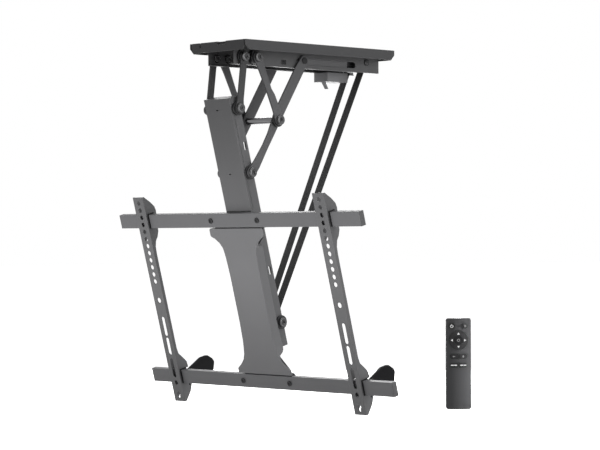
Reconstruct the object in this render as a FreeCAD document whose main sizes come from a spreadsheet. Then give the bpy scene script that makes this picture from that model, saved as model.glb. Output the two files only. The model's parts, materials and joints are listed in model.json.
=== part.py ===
import FreeCAD, Part
import Sketcher
import math
import os
import re

# Motorised fold-down ceiling mount for a television, with its remote control.
# X runs along the screen rails, Y from the front of the ceiling plate to its back, Z up.
# The origin is the centre of the ceiling plate's top face, which lies against the ceiling.
# The mount is drawn folded down: the column leans 15 degrees from upright, its top to the front.

doc = FreeCAD.newDocument("tv_ceiling_mount")
sheet = doc.addObject("Spreadsheet::Sheet", "sizes")

# Driving dimensions in millimetres and degrees.
dims = [
    # ceiling plate and channel
    ("plate_length", 440), ("plate_width", 172), ("plate_sheet", 2), ("skirt_height", 21),
    ("skirt_bevel", 10), ("corner_gap", 3), ("corner_gap_height", 17),
    ("ceiling_hole_span", 124), ("ceiling_hole_run", 340), ("ceiling_hole_r", 4), ("ceiling_slot_length", 24),
    ("channel_inset", 10), ("channel_back_gap", 2), ("channel_width", 80), ("channel_height", 46),
    ("channel_sheet", 2), ("lip_width", 10),
    ("channel_screw_offset", 22), ("channel_screw_inset", 32),
    ("guide_drop", 33.1), ("slide_pin_r", 4), ("roller_r", 5.2), ("guide_slot_front", 18),
    ("guide_slot_r", 6.5), ("guide_slot_length", 178),
    ("track_depth", 8), ("track_sheet", 1.5), ("track_length", 148),
    # linkage
    ("pivot_drop", 32), ("front_pivot_inset", 22), ("arm_pivot_gap", 31), ("slide_start", 143),
    ("short_arm_length", 142), ("long_arm_upper", 152), ("long_arm_lower", 131), ("column_pivot_gap", 136),
    ("tilt", 15), ("stowed_drop", 82),
    ("arm_eye_r", 11), ("arm_neck", 18), ("arm_sheet", 4), ("front_arm_waist", 8), ("short_arm_waist", 7.5),
    ("long_arm_front", 13.5),
    ("long_arm_side", 42), ("front_arm_side", 45), ("short_arm_side", 52),
    ("bolt_r", 5), ("shaft_r", 7), ("run_gap", 0.06), ("face_gap", 0.3),
    ("bush_r", 14.5), ("head_r", 10.2), ("head_rim", 4.5), ("head_crown_r", 7.4), ("head_crown", 1),
    ("socket_r", 4), ("nut_r", 9), ("nut_height", 6),
    # column, cover and rails
    ("pivot_depth", 36), ("pivot_height", 78.3), ("column_front", 19), ("column_depth", 27),
    ("column_width", 77),
    ("column_sheet", 2), ("column_top", 239), ("column_bottom", 297), ("column_rear_lip", 8),
    ("strap_pin_drop", 324), ("strap_pin_setback", 3), ("window_length", 17), ("window_width", 5.5),
    ("seam_setback", 6), ("seam_width", 0.8), ("cover_bolt_offset", 22), ("cover_bolt_high", 40),
    ("cover_bolt_low", 91.7),
    ("rail_length", 734), ("rail_height", 30), ("rail_depth", 12.5), ("rail_sheet", 1.5), ("rail_gap", 351.7),
    ("cap_sheet", 2), ("rail_bolt_offset", 71), ("rail_bolt_r", 3),
    ("cover_width", 92), ("cover_flare", 164), ("cover_sheet", 2), ("cover_wall", 22), ("cover_gap", 2),
    # screen brackets and their locks
    ("bracket_left_place", 287), ("bracket_right_place", 269.7), ("bracket_width", 33), ("bracket_front", 6),
    ("bracket_sheet", 2), ("bracket_length", 463), ("bracket_rise", 40.6),
    ("vesa_hole_r", 5), ("vesa_pitch", 16), ("vesa_first", 27.5), ("vesa_slot_r", 4.8), ("keyhole_r", 2.6),
    ("lone_hole_drop", 191.4), ("foot_hole_drop", 379.5), ("keyhole_drop", 404.5), ("keyhole_length", 8),
    ("slot_a_top", 229), ("slot_a_length", 43.5), ("slot_b_top", 276.5), ("slot_b_length", 39.5),
    ("slot_c_top", 323), ("slot_c_length", 44),
    ("hook_reach", 23), ("flange_depth", 8), ("rail_play", 0.4),
    ("lever_width", 7), ("lever_reach", 94.4), ("lever_rise", 43.3), ("lever_drop", 8),
    # lift drum and straps
    ("drum_setback", 38.5), ("drum_drop", 25.3), ("drum_core_r", 8), ("drum_flange_r", 20.5),
    ("drum_width", 24),
    ("drum_spacing", 43), ("drum_shaft_r", 4), ("strap_width", 21), ("strap_thickness", 1.6),
    ("strap_roll", 2.4),
    ("strap_low_spacing", 25),
    # gear motor
    ("drum_gear_r", 18), ("drum_gear_teeth", 36), ("pinion_teeth", 12), ("gear_width", 7),
    ("motor_r", 15), ("motor_length", 96),
    # control box
    ("box_length", 62), ("box_width", 42), ("box_height", 20), ("box_wall", 2), ("box_front", 95),
    # remote control
    ("remote_x", 434.5), ("remote_y", 35), ("remote_z", 659.8), ("remote_turn", 46),
    ("remote_width", 50.5), ("remote_height", 182.5), ("remote_thick", 18), ("remote_corner", 5),
    ("remote_wall", 1.6),
    ("remote_front_part", 9), ("key_travel", 1.0), ("key_stand", 1.2), ("key_play", 0.4),
    ("wide_key_reach", 12.7),
]
size = dict(dims)


def fill_sheet(rows, first):
    """Writes name and value pairs to the sheet and gives each value cell its name as alias."""
    for number, (name, value) in enumerate(rows, first):
        sheet.set(f"A{number}", name)
        sheet.set(f"B{number}", repr(value))
        sheet.setAlias(f"B{number}", name)


# The linkage, worked out from the arm lengths as points (y, z) in the side view.
def meet(first, first_length, second, second_length):
    """The lower crossing of two circles."""
    dy = second[0] - first[0]
    dz = second[1] - first[1]
    gap = math.hypot(dy, dz)
    along = (first_length ** 2 - second_length ** 2 + gap ** 2) / (2 * gap)
    off = math.sqrt(first_length ** 2 - along ** 2)
    return (first[0] + (along * dy + off * dz) / gap, first[1] + (along * dz - off * dy) / gap)


tilt = size["tilt"]
sin_t = math.sin(math.radians(tilt))
cos_t = math.cos(math.radians(tilt))
channel_front_y = -size["plate_length"] / 2 + size["channel_inset"]
channel_back_y = size["plate_length"] / 2 - size["channel_back_gap"]
front_pivot = (channel_front_y + size["front_pivot_inset"], -size["pivot_drop"])
short_pivot = (front_pivot[0] + size["arm_pivot_gap"], -size["pivot_drop"])
slide_pin = (short_pivot[0] + size["slide_start"], -size["pivot_drop"])
knee = meet(short_pivot, size["short_arm_length"], slide_pin, size["long_arm_upper"])
long_lean = math.degrees(math.atan2(slide_pin[0] - knee[0], slide_pin[1] - knee[1]))
lower_share = size["long_arm_lower"] / size["long_arm_upper"]
column_pivot = (knee[0] - (slide_pin[0] - knee[0]) * lower_share,
                knee[1] - (slide_pin[1] - knee[1]) * lower_share)
top_pivot = (column_pivot[0] - size["column_pivot_gap"] * sin_t,
             column_pivot[1] + size["column_pivot_gap"] * cos_t)
front_arm_length = math.dist(front_pivot, top_pivot)
front_lean = math.degrees(math.atan2(top_pivot[0] - front_pivot[0], front_pivot[1] - top_pivot[1]))
column_base = (
    column_pivot[0] - (size["pivot_depth"] * cos_t - size["pivot_height"] * sin_t),
    column_pivot[1] - (size["pivot_depth"] * sin_t + size["pivot_height"] * cos_t),
)


def on_column(depth, up):
    """A point (y, z) from its depth behind the rails' front and its height above the top rail."""
    return (column_base[0] + depth * cos_t - up * sin_t, column_base[1] + depth * sin_t + up * cos_t)


strap_pin = on_column(size["pivot_depth"] + size["strap_pin_setback"],
                      size["pivot_height"] - size["strap_pin_drop"])
drum_axis = (channel_back_y - size["drum_setback"], -size["drum_drop"])


# The stowed pose, where the column lies level: the short arm's turn is found by halving.
def stowed():
    """Turns of the arms and column from the drawn pose to the stowed one, in degrees."""
    low = 0.0
    high = math.degrees(math.asin((short_pivot[1] - knee[1]) / size["short_arm_length"]))
    start = high
    for _ in range(60):
        middle = (low + high) / 2
        drop = size["short_arm_length"] * math.sin(math.radians(middle))
        long_angle = math.degrees(math.asin(drop / size["long_arm_upper"]))
        depth = size["pivot_drop"] + drop + size["long_arm_lower"] * math.sin(math.radians(long_angle))
        if depth < size["stowed_drop"]:
            low = middle
        else:
            high = middle
    knee_y = short_pivot[0] + size["short_arm_length"] * math.cos(math.radians(middle))
    pivot_y = knee_y - size["long_arm_lower"] * math.cos(math.radians(long_angle))
    top_y = pivot_y - size["column_pivot_gap"]
    arm_end = math.degrees(math.atan2(top_y - front_pivot[0], front_pivot[1] + size["stowed_drop"]))
    return {
        "short": start - middle,
        "long": -(90 - long_lean - long_angle),
        "column": 90 - tilt,
        "front": arm_end - front_lean,
        "pivot_y": pivot_y,
    }


fold = stowed()
stowed_strap_pin = (
    fold["pivot_y"] + size["strap_pin_drop"],
    -size["stowed_drop"] + size["strap_pin_setback"],
)
strap_roll_r = size["drum_core_r"] + size["strap_roll"]


def strap_exit(end):
    """Where a strap that leads to a point leaves the back of the drum."""
    dy = end[0] - drum_axis[0]
    dz = end[1] - drum_axis[1]
    reach = math.hypot(dy, dz)
    along = math.degrees(math.atan2(dz, dy))
    off = math.degrees(math.acos(strap_roll_r / reach))
    angle = math.radians(along + off)
    return (drum_axis[0] + strap_roll_r * math.cos(angle), drum_axis[1] + strap_roll_r * math.sin(angle))


strap_top = strap_exit(strap_pin)
strap_length = math.dist(strap_top, strap_pin)
strap_lean = math.degrees(math.atan2(strap_top[0] - strap_pin[0], strap_top[1] - strap_pin[1]))

derived = [
    ("front_pivot_y", front_pivot[0]), ("short_pivot_y", short_pivot[0]), ("slide_pin_y", slide_pin[0]),
    ("front_arm_length", front_arm_length),
    ("strap_pin_depth", size["pivot_depth"] + size["strap_pin_setback"]),
    ("top_pivot_up", size["pivot_height"] + size["column_pivot_gap"]),
    ("strap_pin_up", size["pivot_height"] - size["strap_pin_drop"]),
    ("drum_y", drum_axis[0]), ("strap_length", strap_length), ("channel_front", channel_front_y),
    ("channel_back", channel_back_y),
]
fill_sheet(dims, 1)
fill_sheet(derived, len(dims) + 1)
doc.recompute()
aliases = {name for name, _ in dims + derived}
parts = []
counter = [0]


def bound(text):
    """An expression with each size's name pointed at its cell."""
    def cell(found):
        word = found.group(0)
        return f"sizes.{word}" if word in aliases else word

    return re.sub(r"[a-z][a-z_]*", cell, str(text))


def add(kind, word):
    """A new document object with a running number in its name."""
    counter[0] += 1
    return doc.addObject(kind, f"{word}_{counter[0]}")


def put(item, x, y, z):
    """Binds an object's place to three expressions."""
    for letter, text in (("x", x), ("y", y), ("z", z)):
        item.setExpression(f"Placement.Base.{letter}", bound(text))


def box(x, y, z):
    """A box from pairs of expressions for its low and high side along each axis."""
    item = add("Part::Box", "block")
    for name, (low, high) in (("Length", x), ("Width", y), ("Height", z)):
        item.setExpression(name, bound(f"({high}) - ({low})"))
    put(item, x[0], y[0], z[0])
    return item


AXES = {
    "x": FreeCAD.Rotation(FreeCAD.Vector(0, 1, 0), 90),
    "y": FreeCAD.Rotation(FreeCAD.Vector(1, 0, 0), -90),
    "z": FreeCAD.Rotation(),
}


def rod(axis, low, high, first, second, r):
    """A round bar along an axis, from low to high, at the two other coordinates in X, Y, Z order."""
    item = add("Part::Cylinder", "rod")
    item.Placement = FreeCAD.Placement(FreeCAD.Vector(), AXES[axis])
    item.setExpression("Radius", bound(r))
    item.setExpression("Height", bound(f"({high}) - ({low})"))
    place = {"x": (low, first, second), "y": (first, low, second), "z": (first, second, low)}[axis]
    put(item, *place)
    return item


def hexagon(low, high, y, z, r):
    """A six-sided bar along X."""
    item = add("Part::Prism", "hexagon")
    item.Polygon = 6
    item.Placement = FreeCAD.Placement(FreeCAD.Vector(), AXES["x"])
    item.setExpression("Circumradius", bound(r))
    item.setExpression("Height", bound(f"({high}) - ({low})"))
    put(item, low, y, z)
    return item


def fuse(*items):
    """Joins solids."""
    if len(items) == 1:
        return items[0]
    item = add("Part::MultiFuse", "joined")
    item.Shapes = list(items)
    item.Refine = True
    return item


def cut(base, *tools):
    """Takes solids away from a base."""
    item = add("Part::Cut", "cut")
    item.Base = base
    item.Tool = fuse(*tools)
    item.Refine = True
    return item


def group(*items):
    """Keeps separate solids together in one node."""
    item = add("Part::Compound", "group")
    item.Links = list(items)
    return item


def slot_tool(axis, low, high, start, end, other, r, along):
    """A long hole's tool along an axis: two round ends and the block between them."""
    if axis == "x":
        ends = [rod("x", low, high, at, other, r) for at in (start, end)]
        return fuse(*ends, box((low, high), (start, end), (f"{other} - {r}", f"{other} + {r}")))
    if along == "z":
        ends = [rod("y", low, high, other, at, r) for at in (start, end)]
        return fuse(*ends, box((f"{other} - {r}", f"{other} + {r}"), (low, high), (start, end)))
    ends = [rod("z", low, high, other, at, r) for at in (start, end)]
    return fuse(*ends, box((f"{other} - {r}", f"{other} + {r}"), (start, end), (low, high)))


def outline(plane, points, thickness, offset="0", circles=()):
    """A plate from a sketch whose corners are bound to the sheet, padded along the plane's own side."""
    counter[0] += 1
    body = doc.addObject("PartDesign::Body", f"plate_{counter[0]}")
    sketch = body.newObject("Sketcher::SketchObject", f"outline_{counter[0]}")
    sketch.AttachmentSupport = [([f for f in body.Origin.OriginFeatures if f.Role == plane][0], "")]
    sketch.MapMode = "FlatFace"
    total = len(points)
    ring = [
        FreeCAD.Vector(10 * math.cos(2 * math.pi * k / total), 10 * math.sin(2 * math.pi * k / total), 0)
        for k in range(total)
    ]
    for k in range(total):
        sketch.addGeometry(Part.LineSegment(ring[k], ring[(k + 1) % total]), False)
    for k in range(total):
        sketch.addConstraint(Sketcher.Constraint("Coincident", k, 2, (k + 1) % total, 1))
    spots = [(k, 1, point) for k, point in enumerate(points)]
    for x, y, r in circles:
        place = sketch.addGeometry(Part.Circle(FreeCAD.Vector(), FreeCAD.Vector(0, 0, 1), 1), False)
        radius = sketch.addConstraint(Sketcher.Constraint("Radius", place, 1.0))
        sketch.renameConstraint(radius, f"r{place}")
        sketch.setExpression(f"Constraints.r{place}", bound(r))
        spots.append((place, 3, (x, y)))
    for place, end, (x, y) in spots:
        for kind, text in (("DistanceX", x), ("DistanceY", y)):
            number = sketch.addConstraint(Sketcher.Constraint(kind, -1, 1, place, end, 1.0))
            sketch.renameConstraint(number, f"{kind}{place}")
            sketch.setExpression(f"Constraints.{kind}{place}", bound(text))
    pad = body.newObject("PartDesign::Pad", f"pad_{counter[0]}")
    pad.Profile = sketch
    pad.setExpression("Length", bound(thickness))
    letter = {"XY_Plane": "z", "XZ_Plane": "y", "YZ_Plane": "x"}[plane]
    body.setExpression(f"Placement.Base.{letter}", bound(offset))
    return body


def keep(item, label, place=None):
    """Names a finished sub-part and, where it is built in its own frame, puts it in place."""
    if place is not None and item.TypeId in ("Part::Box", "Part::Cylinder", "Part::Prism",
                                             "PartDesign::Body"):
        item = group(item)
    item.Label = label
    if place is not None:
        item.Placement = place
    parts.append(item)
    return item


def side_place(point, degrees=0.0):
    """The placement of a piece built about the origin of the side view, turned about X."""
    return FreeCAD.Placement(
        FreeCAD.Vector(0, point[0], point[1]), FreeCAD.Rotation(FreeCAD.Vector(1, 0, 0), degrees)
    )


COLUMN = side_place(column_base, tilt)
SIDES = (("left", -1), ("right", 1))


def span(sign, near, far):
    """Low and high X of a piece that lies between two distances from the middle on one side."""
    if sign > 0:
        return (near, far)
    return (f"-({far})", f"-({near})")


def bolt_head(sign, face, y, z):
    """The rim and crown of a bolt's head that stands on a face, and the tool of its socket."""
    end = f"{face} + head_rim + head_crown"
    rim = rod("x", *span(sign, face, f"{face} + head_rim"), y, z, "head_r")
    crown = rod("x", *span(sign, f"{face} + head_rim", end), y, z, "head_crown_r")
    socket = hexagon(*span(sign, f"{face} + head_rim / 2", f"{end} + 1"), y, z, "socket_r")
    return [rim, crown], socket


def headed_bolt(sign, near, far, y, z, shank_r):
    """A pivot bolt along X: its shank from near to far, then a rimmed head with a hexagon socket."""
    head, socket = bolt_head(sign, far, y, z)
    return cut(fuse(rod("x", *span(sign, near, far), y, z, shank_r), *head), socket)


def ring(sign, near, far, y, z, outer, inner):
    """A flat ring or bush along X."""
    x = span(sign, near, far)
    return cut(rod("x", *x, y, z, outer), rod("x", f"{x[0]} - 1", f"{x[1]} + 1", y, z, inner))


# Ceiling plate: a pressed tray with skirts, bevelled corners and slots for the ceiling screws.
half_l = "plate_length / 2"
half_w = "plate_width / 2"
skirt_low = "-skirt_height"


def skirt_points(half):
    """The skirt's outline: a strip whose lower corners are cut off."""
    return [
        (f"-({half})", "-plate_sheet / 2"), (half, "-plate_sheet / 2"), (half, f"{skirt_low} + skirt_bevel"),
        (f"{half} - skirt_bevel", skirt_low), (f"-({half}) + skirt_bevel", skirt_low),
        (f"-({half})", f"{skirt_low} + skirt_bevel"),
    ]


tray = fuse(
    box((f"-{half_w}", half_w), (f"-{half_l}", half_l), ("-plate_sheet", "0")),
    outline("XZ_Plane", skirt_points(half_w), "plate_sheet", f"-{half_l} + plate_sheet"),
    outline("XZ_Plane", skirt_points(half_w), "plate_sheet", half_l),
    outline("YZ_Plane", skirt_points(half_l), "plate_sheet", f"-{half_w}"),
    outline("YZ_Plane", skirt_points(half_l), "plate_sheet", f"{half_w} - plate_sheet"),
)
gaps = [
    box(span(sx, f"{half_w} - plate_sheet - corner_gap", f"{half_w} - plate_sheet"),
        span(sy, f"{half_l} - plate_sheet - 1", f"{half_l} + 1"), ("-corner_gap_height", "1"))
    for sx in (-1, 1) for sy in (-1, 1)
]
ceiling_slots = []
for sx in (-1, 1):
    for sy in (-1, 1):
        x = f"{sx} * ceiling_hole_span / 2"
        y = f"{sy} * ceiling_hole_run / 2"
        ends = [f"{x} - ceiling_slot_length / 2 + ceiling_hole_r",
                f"{x} + ceiling_slot_length / 2 - ceiling_hole_r"]
        ceiling_slots += [rod("z", "-plate_sheet - 1", "1", end, y, "ceiling_hole_r") for end in ends]
        ceiling_slots.append(box(ends, (f"{y} - ceiling_hole_r", f"{y} + ceiling_hole_r"),
                                 ("-plate_sheet - 1", "1")))
notches = [
    box((12 - 13, 12 + 13), (f"-{half_l} - 1", f"-{half_l} + plate_sheet + 6"), (-7, 1)),
    box((-56, -52), (f"-{half_l} - 1", f"-{half_l} + plate_sheet + 1"), (-10, 1)),
]
screw_places = ("channel_front + channel_screw_inset", "-20", "drum_y - 59.5")
screw_rows = [(x, y) for x in ("-channel_screw_offset", "channel_screw_offset") for y in screw_places]
plate_holes = [rod("z", "-plate_sheet - 1", "1", x, y, 3.1) for x, y in screw_rows]
keep(cut(tray, *gaps, *ceiling_slots, *notches, *plate_holes), "ceiling_plate")

# Channel under the plate: two cheeks, a web and inward lips, slotted for the sliding pin.
half_c = "channel_width / 2"
channel_top = "-plate_sheet"
channel_low = "-plate_sheet - channel_height"
channel = box((f"-{half_c}", half_c), ("channel_front", "channel_back"), (channel_low, channel_top))
hollow = box((f"-{half_c} + channel_sheet", f"{half_c} - channel_sheet"),
             ("channel_front - 1", "channel_back + 1"),
             (f"{channel_low} + channel_sheet", f"{channel_top} - channel_sheet"))
mouth = box((f"-{half_c} + lip_width", f"{half_c} - lip_width"), ("channel_front - 1", "channel_back + 1"),
            (f"{channel_low} - 1", f"{channel_low} + channel_sheet + 1"))
slot_start = "slide_pin_y - guide_slot_front + guide_slot_r"
slot_end = "slide_pin_y - guide_slot_front + guide_slot_length - guide_slot_r"
through = (f"-{half_c} - 5", f"{half_c} + 5")
channel_cuts = [
    hollow,
    mouth,
    slot_tool("x", *through, slot_start, slot_end, "-guide_drop", "guide_slot_r", "y"),
    box(through, ("slide_pin_y - 62", "slide_pin_y - 48"), ("-pivot_drop - 10", "-pivot_drop")),
    box((f"-{half_c} + 4", f"{half_c} - 4"), ("drum_y - 25", "channel_back + 1"),
        (f"{channel_low} - 1", f"{channel_low} + channel_sheet + 1")),
    rod("x", *through, "front_pivot_y", "-pivot_drop", "bolt_r + 0.1"),
    rod("x", *through, "short_pivot_y", "-pivot_drop", "bolt_r + 0.1"),
    rod("x", *through, "drum_y", "-drum_drop", "drum_shaft_r + 3"),
]
channel_cuts += [
    rod("z", f"{channel_top} - channel_sheet - 1", f"{channel_top} + 1", x, y, 3.1) for x, y in screw_rows
]
keep(cut(channel, *channel_cuts), "channel_frame")
keep(group(*[
    fuse(rod("z", f"{channel_top} - channel_sheet", "-0.3", x, y, 3),
         rod("z", f"{channel_top} - channel_sheet - 3", f"{channel_top} - channel_sheet", x, y, 6))
    for x, y in screw_rows
]), "channel_screws")

# Guide tracks behind the slots, in which the rollers of the long arms run.
track_front = "slide_pin_y - 6"
tracks = []
for _, sign in SIDES:
    outer = f"{half_c} - channel_sheet"
    shell = box(span(sign, f"{outer} - track_depth", outer), (track_front, f"{track_front} + track_length"),
                ("-guide_drop - guide_slot_r - 0.5 - track_sheet",
                 "-guide_drop + guide_slot_r + 0.5 + track_sheet"))
    inside = box(span(sign, f"{outer} - track_depth + track_sheet", f"{outer} + 1"),
                 (f"{track_front} - 1", f"{track_front} + track_length + 1"),
                 ("-guide_drop - guide_slot_r - 0.5", "-guide_drop + guide_slot_r + 0.5"))
    tracks.append(cut(shell, inside))
keep(group(*tracks), "guide_tracks")

# Arms: flat bars with round eyes, waisted or bowed between them.
def eyed_bar(x, sides, eyes, holes):
    """A flat bar from the outline of its waist, a round eye at each height in eyes, and its holes."""
    blank = fuse(outline("YZ_Plane", sides, "arm_sheet", x[0]),
                 *[rod("x", *x, "0", z, "arm_eye_r") for z in eyes])
    return cut(blank, *[rod("x", f"{x[0]} - 1", f"{x[1]} + 1", "0", z, r) for z, r in holes])


# Front arms: short hanging links from the channel to the top of the column.
for name, sign in SIDES:
    x = span(sign, "front_arm_side", "front_arm_side + arm_sheet")
    low = "-front_arm_length"
    waist = [
        ("-arm_eye_r", "0"), ("-front_arm_waist", "-arm_neck"), ("-front_arm_waist", f"{low} + arm_neck"),
        ("-arm_eye_r", low), ("arm_eye_r", low), ("front_arm_waist", f"{low} + arm_neck"),
        ("front_arm_waist", "-arm_neck"), ("arm_eye_r", "0"),
    ]
    holes = [(z, "bolt_r + run_gap") for z in ("0", low)]
    keep(eyed_bar(x, waist, ("0", low), holes), f"front_arm_{name}", side_place(front_pivot, front_lean))

# Short arms: slightly bowed links from the channel to the knee of the long arms.
short_lean = math.degrees(math.atan2(knee[0] - short_pivot[0], short_pivot[1] - knee[1]))
for name, sign in SIDES:
    x = span(sign, "short_arm_side", "short_arm_side + arm_sheet")
    low = "-short_arm_length"
    waist = [
        ("-arm_eye_r", "0"), ("-short_arm_waist - 1", f"{low} * 0.2"), ("-short_arm_waist", f"{low} * 0.5"),
        ("-short_arm_waist - 1", f"{low} * 0.8"), ("-arm_eye_r", low), ("arm_eye_r", low),
        ("short_arm_waist + 3", f"{low} * 0.8"), ("short_arm_waist + 2.5", f"{low} * 0.62"),
        ("short_arm_waist - 1", f"{low} * 0.52"), ("short_arm_waist", f"{low} * 0.4"),
        ("short_arm_waist + 1.5", f"{low} * 0.2"), ("arm_eye_r", "0"),
    ]
    holes = [("0", "bolt_r + run_gap"), (low, "shaft_r")]
    keep(eyed_bar(x, waist, ("0", low), holes), f"short_arm_{name}", side_place(short_pivot, short_lean))

# Long arms: broad from the sliding pin to the knee, slimmer and bowed from there to the column.
for name, sign in SIDES:
    x = span(sign, "long_arm_side", "long_arm_side + arm_sheet")
    top = "long_arm_upper"
    low = "-long_arm_lower"
    waist = [
        ("-arm_eye_r", top), ("-long_arm_front", f"{top} - 22"), ("-long_arm_front", "12"),
        ("-arm_eye_r + 5.5", f"{low} * 0.28"), ("-arm_eye_r + 6.5", f"{low} * 0.5"),
        ("-arm_eye_r + 4", f"{low} * 0.8"), ("-arm_eye_r", low), ("arm_eye_r", low),
        ("arm_eye_r + 1.5", f"{low} * 0.85"), ("arm_eye_r", f"{low} * 0.5"), ("arm_eye_r", top),
    ]
    holes = [("0", "shaft_r + run_gap"), (low, "bolt_r"), (top, "slide_pin_r")]
    keep(eyed_bar(x, waist, (low, top), holes), f"long_arm_{name}", side_place(knee, -long_lean))

# Bolts, bushes and nuts of the four fixed pivots on the channel.
fixed = (("front_pivot_y", "front_arm_side"), ("short_pivot_y", "short_arm_side"))
nut_face = f"{half_c} - channel_sheet"
keep(group(*[
    headed_bolt(sign, f"{nut_face} - nut_height", f"{side} + arm_sheet + face_gap", y, "-pivot_drop",
                "bolt_r")
    for y, side in fixed for _, sign in SIDES
]), "channel_pivot_bolts")
keep(group(*[
    cut(hexagon(*span(sign, f"{nut_face} - nut_height", nut_face), y, "-pivot_drop", "nut_r"),
        rod("x", *span(sign, f"{nut_face} - nut_height - 1", f"{nut_face} + 1"), y, "-pivot_drop", "bolt_r"))
    for y, side in fixed for _, sign in SIDES
]), "channel_pivot_nuts")
keep(group(*[
    ring(sign, half_c, f"{side} - face_gap", y, "-pivot_drop", "bush_r", "bolt_r")
    for y, side in fixed for _, sign in SIDES
]), "channel_pivot_bushes")

# Knee shaft across both sides, with its collars and headed ends, fast in the short arms.
knee_end = "short_arm_side + arm_sheet"
knee_shaft = rod("x", f"-({knee_end})", knee_end, "0", "0", "shaft_r")
keep(knee_shaft, "knee_shaft", side_place(knee))
knee_heads = []
for _, sign in SIDES:
    head, socket = bolt_head(sign, knee_end, "0", "0")
    knee_heads.append(cut(fuse(*head), socket))
keep(group(*knee_heads), "knee_shaft_heads", side_place(knee))
keep(group(*[
    ring(sign, "long_arm_side + arm_sheet + face_gap", "short_arm_side", "0", "0", "bush_r", "shaft_r")
    for _, sign in SIDES
]), "knee_bushes", side_place(knee))

# Sliding pins at the top of the long arms, with nylon rollers that run in the slots.
keep(group(*[
    fuse(rod("x", *span(sign, f"{half_c} - channel_sheet - track_depth + track_sheet + 0.5",
                        "long_arm_side + arm_sheet"),
             "0", "0", "slide_pin_r"),
         rod("x", *span(sign, "long_arm_side + arm_sheet", "long_arm_side + arm_sheet + 2"), "0", "0",
             "slide_pin_r + 3"))
    for _, sign in SIDES
]), "slide_pins", side_place(slide_pin))
keep(group(*[
    ring(sign, f"{half_c} - channel_sheet - track_depth + track_sheet + 0.7", "long_arm_side", "0", "0",
         "roller_r", "slide_pin_r")
    for _, sign in SIDES
]), "slide_rollers", side_place(slide_pin))

# Column: a folded steel channel, open at the back, with a closed top end and lightening windows.
half_col = "column_width / 2"
col_back = "column_front + column_depth"
column_box = box((f"-{half_col}", half_col), ("column_front", col_back), ("-column_bottom", "column_top"))
column_cuts = [
    box((f"-{half_col} + column_sheet", f"{half_col} - column_sheet"),
        ("column_front + column_sheet", f"{col_back} - column_sheet"),
        ("-column_bottom - 1", "column_top - column_sheet")),
    box((f"-{half_col} + column_rear_lip", f"{half_col} - column_rear_lip"),
        (f"{col_back} - column_sheet - 1", f"{col_back} + 1"),
        ("-column_bottom - 1", "column_top - 30")),
]
wide = (f"-{half_col} - 1", f"{half_col} + 1")
for up in (126, -141):
    column_cuts.append(box(wide, (f"{col_back} - 5 - window_width", f"{col_back} - 5"),
                           (up, f"{up} + window_length")))
column_cuts.append(rod("x", *wide, "pivot_depth", "pivot_height", "bolt_r + run_gap"))
column_cuts.append(rod("x", *wide, "strap_pin_depth", "strap_pin_up", "bolt_r"))
for up in ("top_pivot_up", "pivot_height"):
    column_cuts.append(box((-7, 0), ("column_front - 1", "column_front + column_sheet + 1"),
                           (up, f"{up} + 2")))
for _, sign in SIDES:
    column_cuts.append(box(span(sign, f"{half_col} - seam_width", f"{half_col} + 1"),
                           ("column_front + seam_setback", "column_front + seam_setback + seam_width"),
                           ("-column_bottom - 1", "column_top + 1")))
cover_bolt_rows = ("-rail_height - cover_bolt_high", "-rail_gap + cover_bolt_low")
column_bolt_spots = [(x, up) for x in ("-cover_bolt_offset", "cover_bolt_offset") for up in cover_bolt_rows]
for x, up in column_bolt_spots:
    column_cuts.append(rod("y", "column_front - 1", "column_front + column_sheet + 1", x, up, 3.1))
top_tube = rod("x", f"-{half_col}", half_col, "pivot_depth", "top_pivot_up", "bolt_r + 2")
keep(fuse(cut(column_box, *column_cuts), top_tube), "column", COLUMN)

# Top pivot: the front arms' bolts and bushes, which stop just short of the column's sides.
keep(group(*[
    headed_bolt(sign, f"{half_col} + face_gap", "front_arm_side + arm_sheet + 0.2", "0",
                "-front_arm_length", "bolt_r")
    for _, sign in SIDES
]), "top_pivot_bolts", side_place(front_pivot, front_lean))
keep(group(*[
    ring(sign, f"{half_col} + face_gap", "front_arm_side - 0.2", "0", "-front_arm_length", "bush_r", "bolt_r")
    for _, sign in SIDES
]), "top_pivot_bushes", side_place(front_pivot, front_lean))


def headed_pin(y, z, end):
    """A pin through the column with a rimmed head at each end."""
    items = [rod("x", f"-({end})", end, y, z, "bolt_r")]
    sockets = []
    for _, sign in SIDES:
        head, socket = bolt_head(sign, end, y, z)
        items += head
        sockets.append(socket)
    return cut(fuse(*items), *sockets)


# Lower pivot pin, fast in the long arms, and the strap pin through the foot of the column.
keep(headed_pin("0", "-long_arm_lower", "long_arm_side + arm_sheet"), "lower_pivot_pin",
     side_place(knee, -long_lean))
keep(headed_pin("strap_pin_depth", "strap_pin_up", f"{half_col} + 4"), "strap_pin", COLUMN)
keep(group(*[
    ring(sign, half_col, far, depth, up, "bush_r", hole)
    for depth, up, far, hole in (
        ("pivot_depth", "pivot_height", "long_arm_side - face_gap", "bolt_r + run_gap"),
        ("strap_pin_depth", "strap_pin_up", f"{half_col} + 4", "bolt_r"),
    ) for _, sign in SIDES
]), "column_bushes", COLUMN)

# Rails: rectangular tubes that carry the screen brackets, with plastic end caps and four bolts.
half_r = "rail_length / 2"
rail_rows = (("top_rail", "0"), ("bottom_rail", "-rail_gap"))


def rail_bolt_spots(top):
    """Where the two bolts of a rail stand, from the rail's top."""
    return [(f"{sign} * rail_bolt_offset", f"{top} - rail_height / 2") for sign in (-1, 1)]


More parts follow.
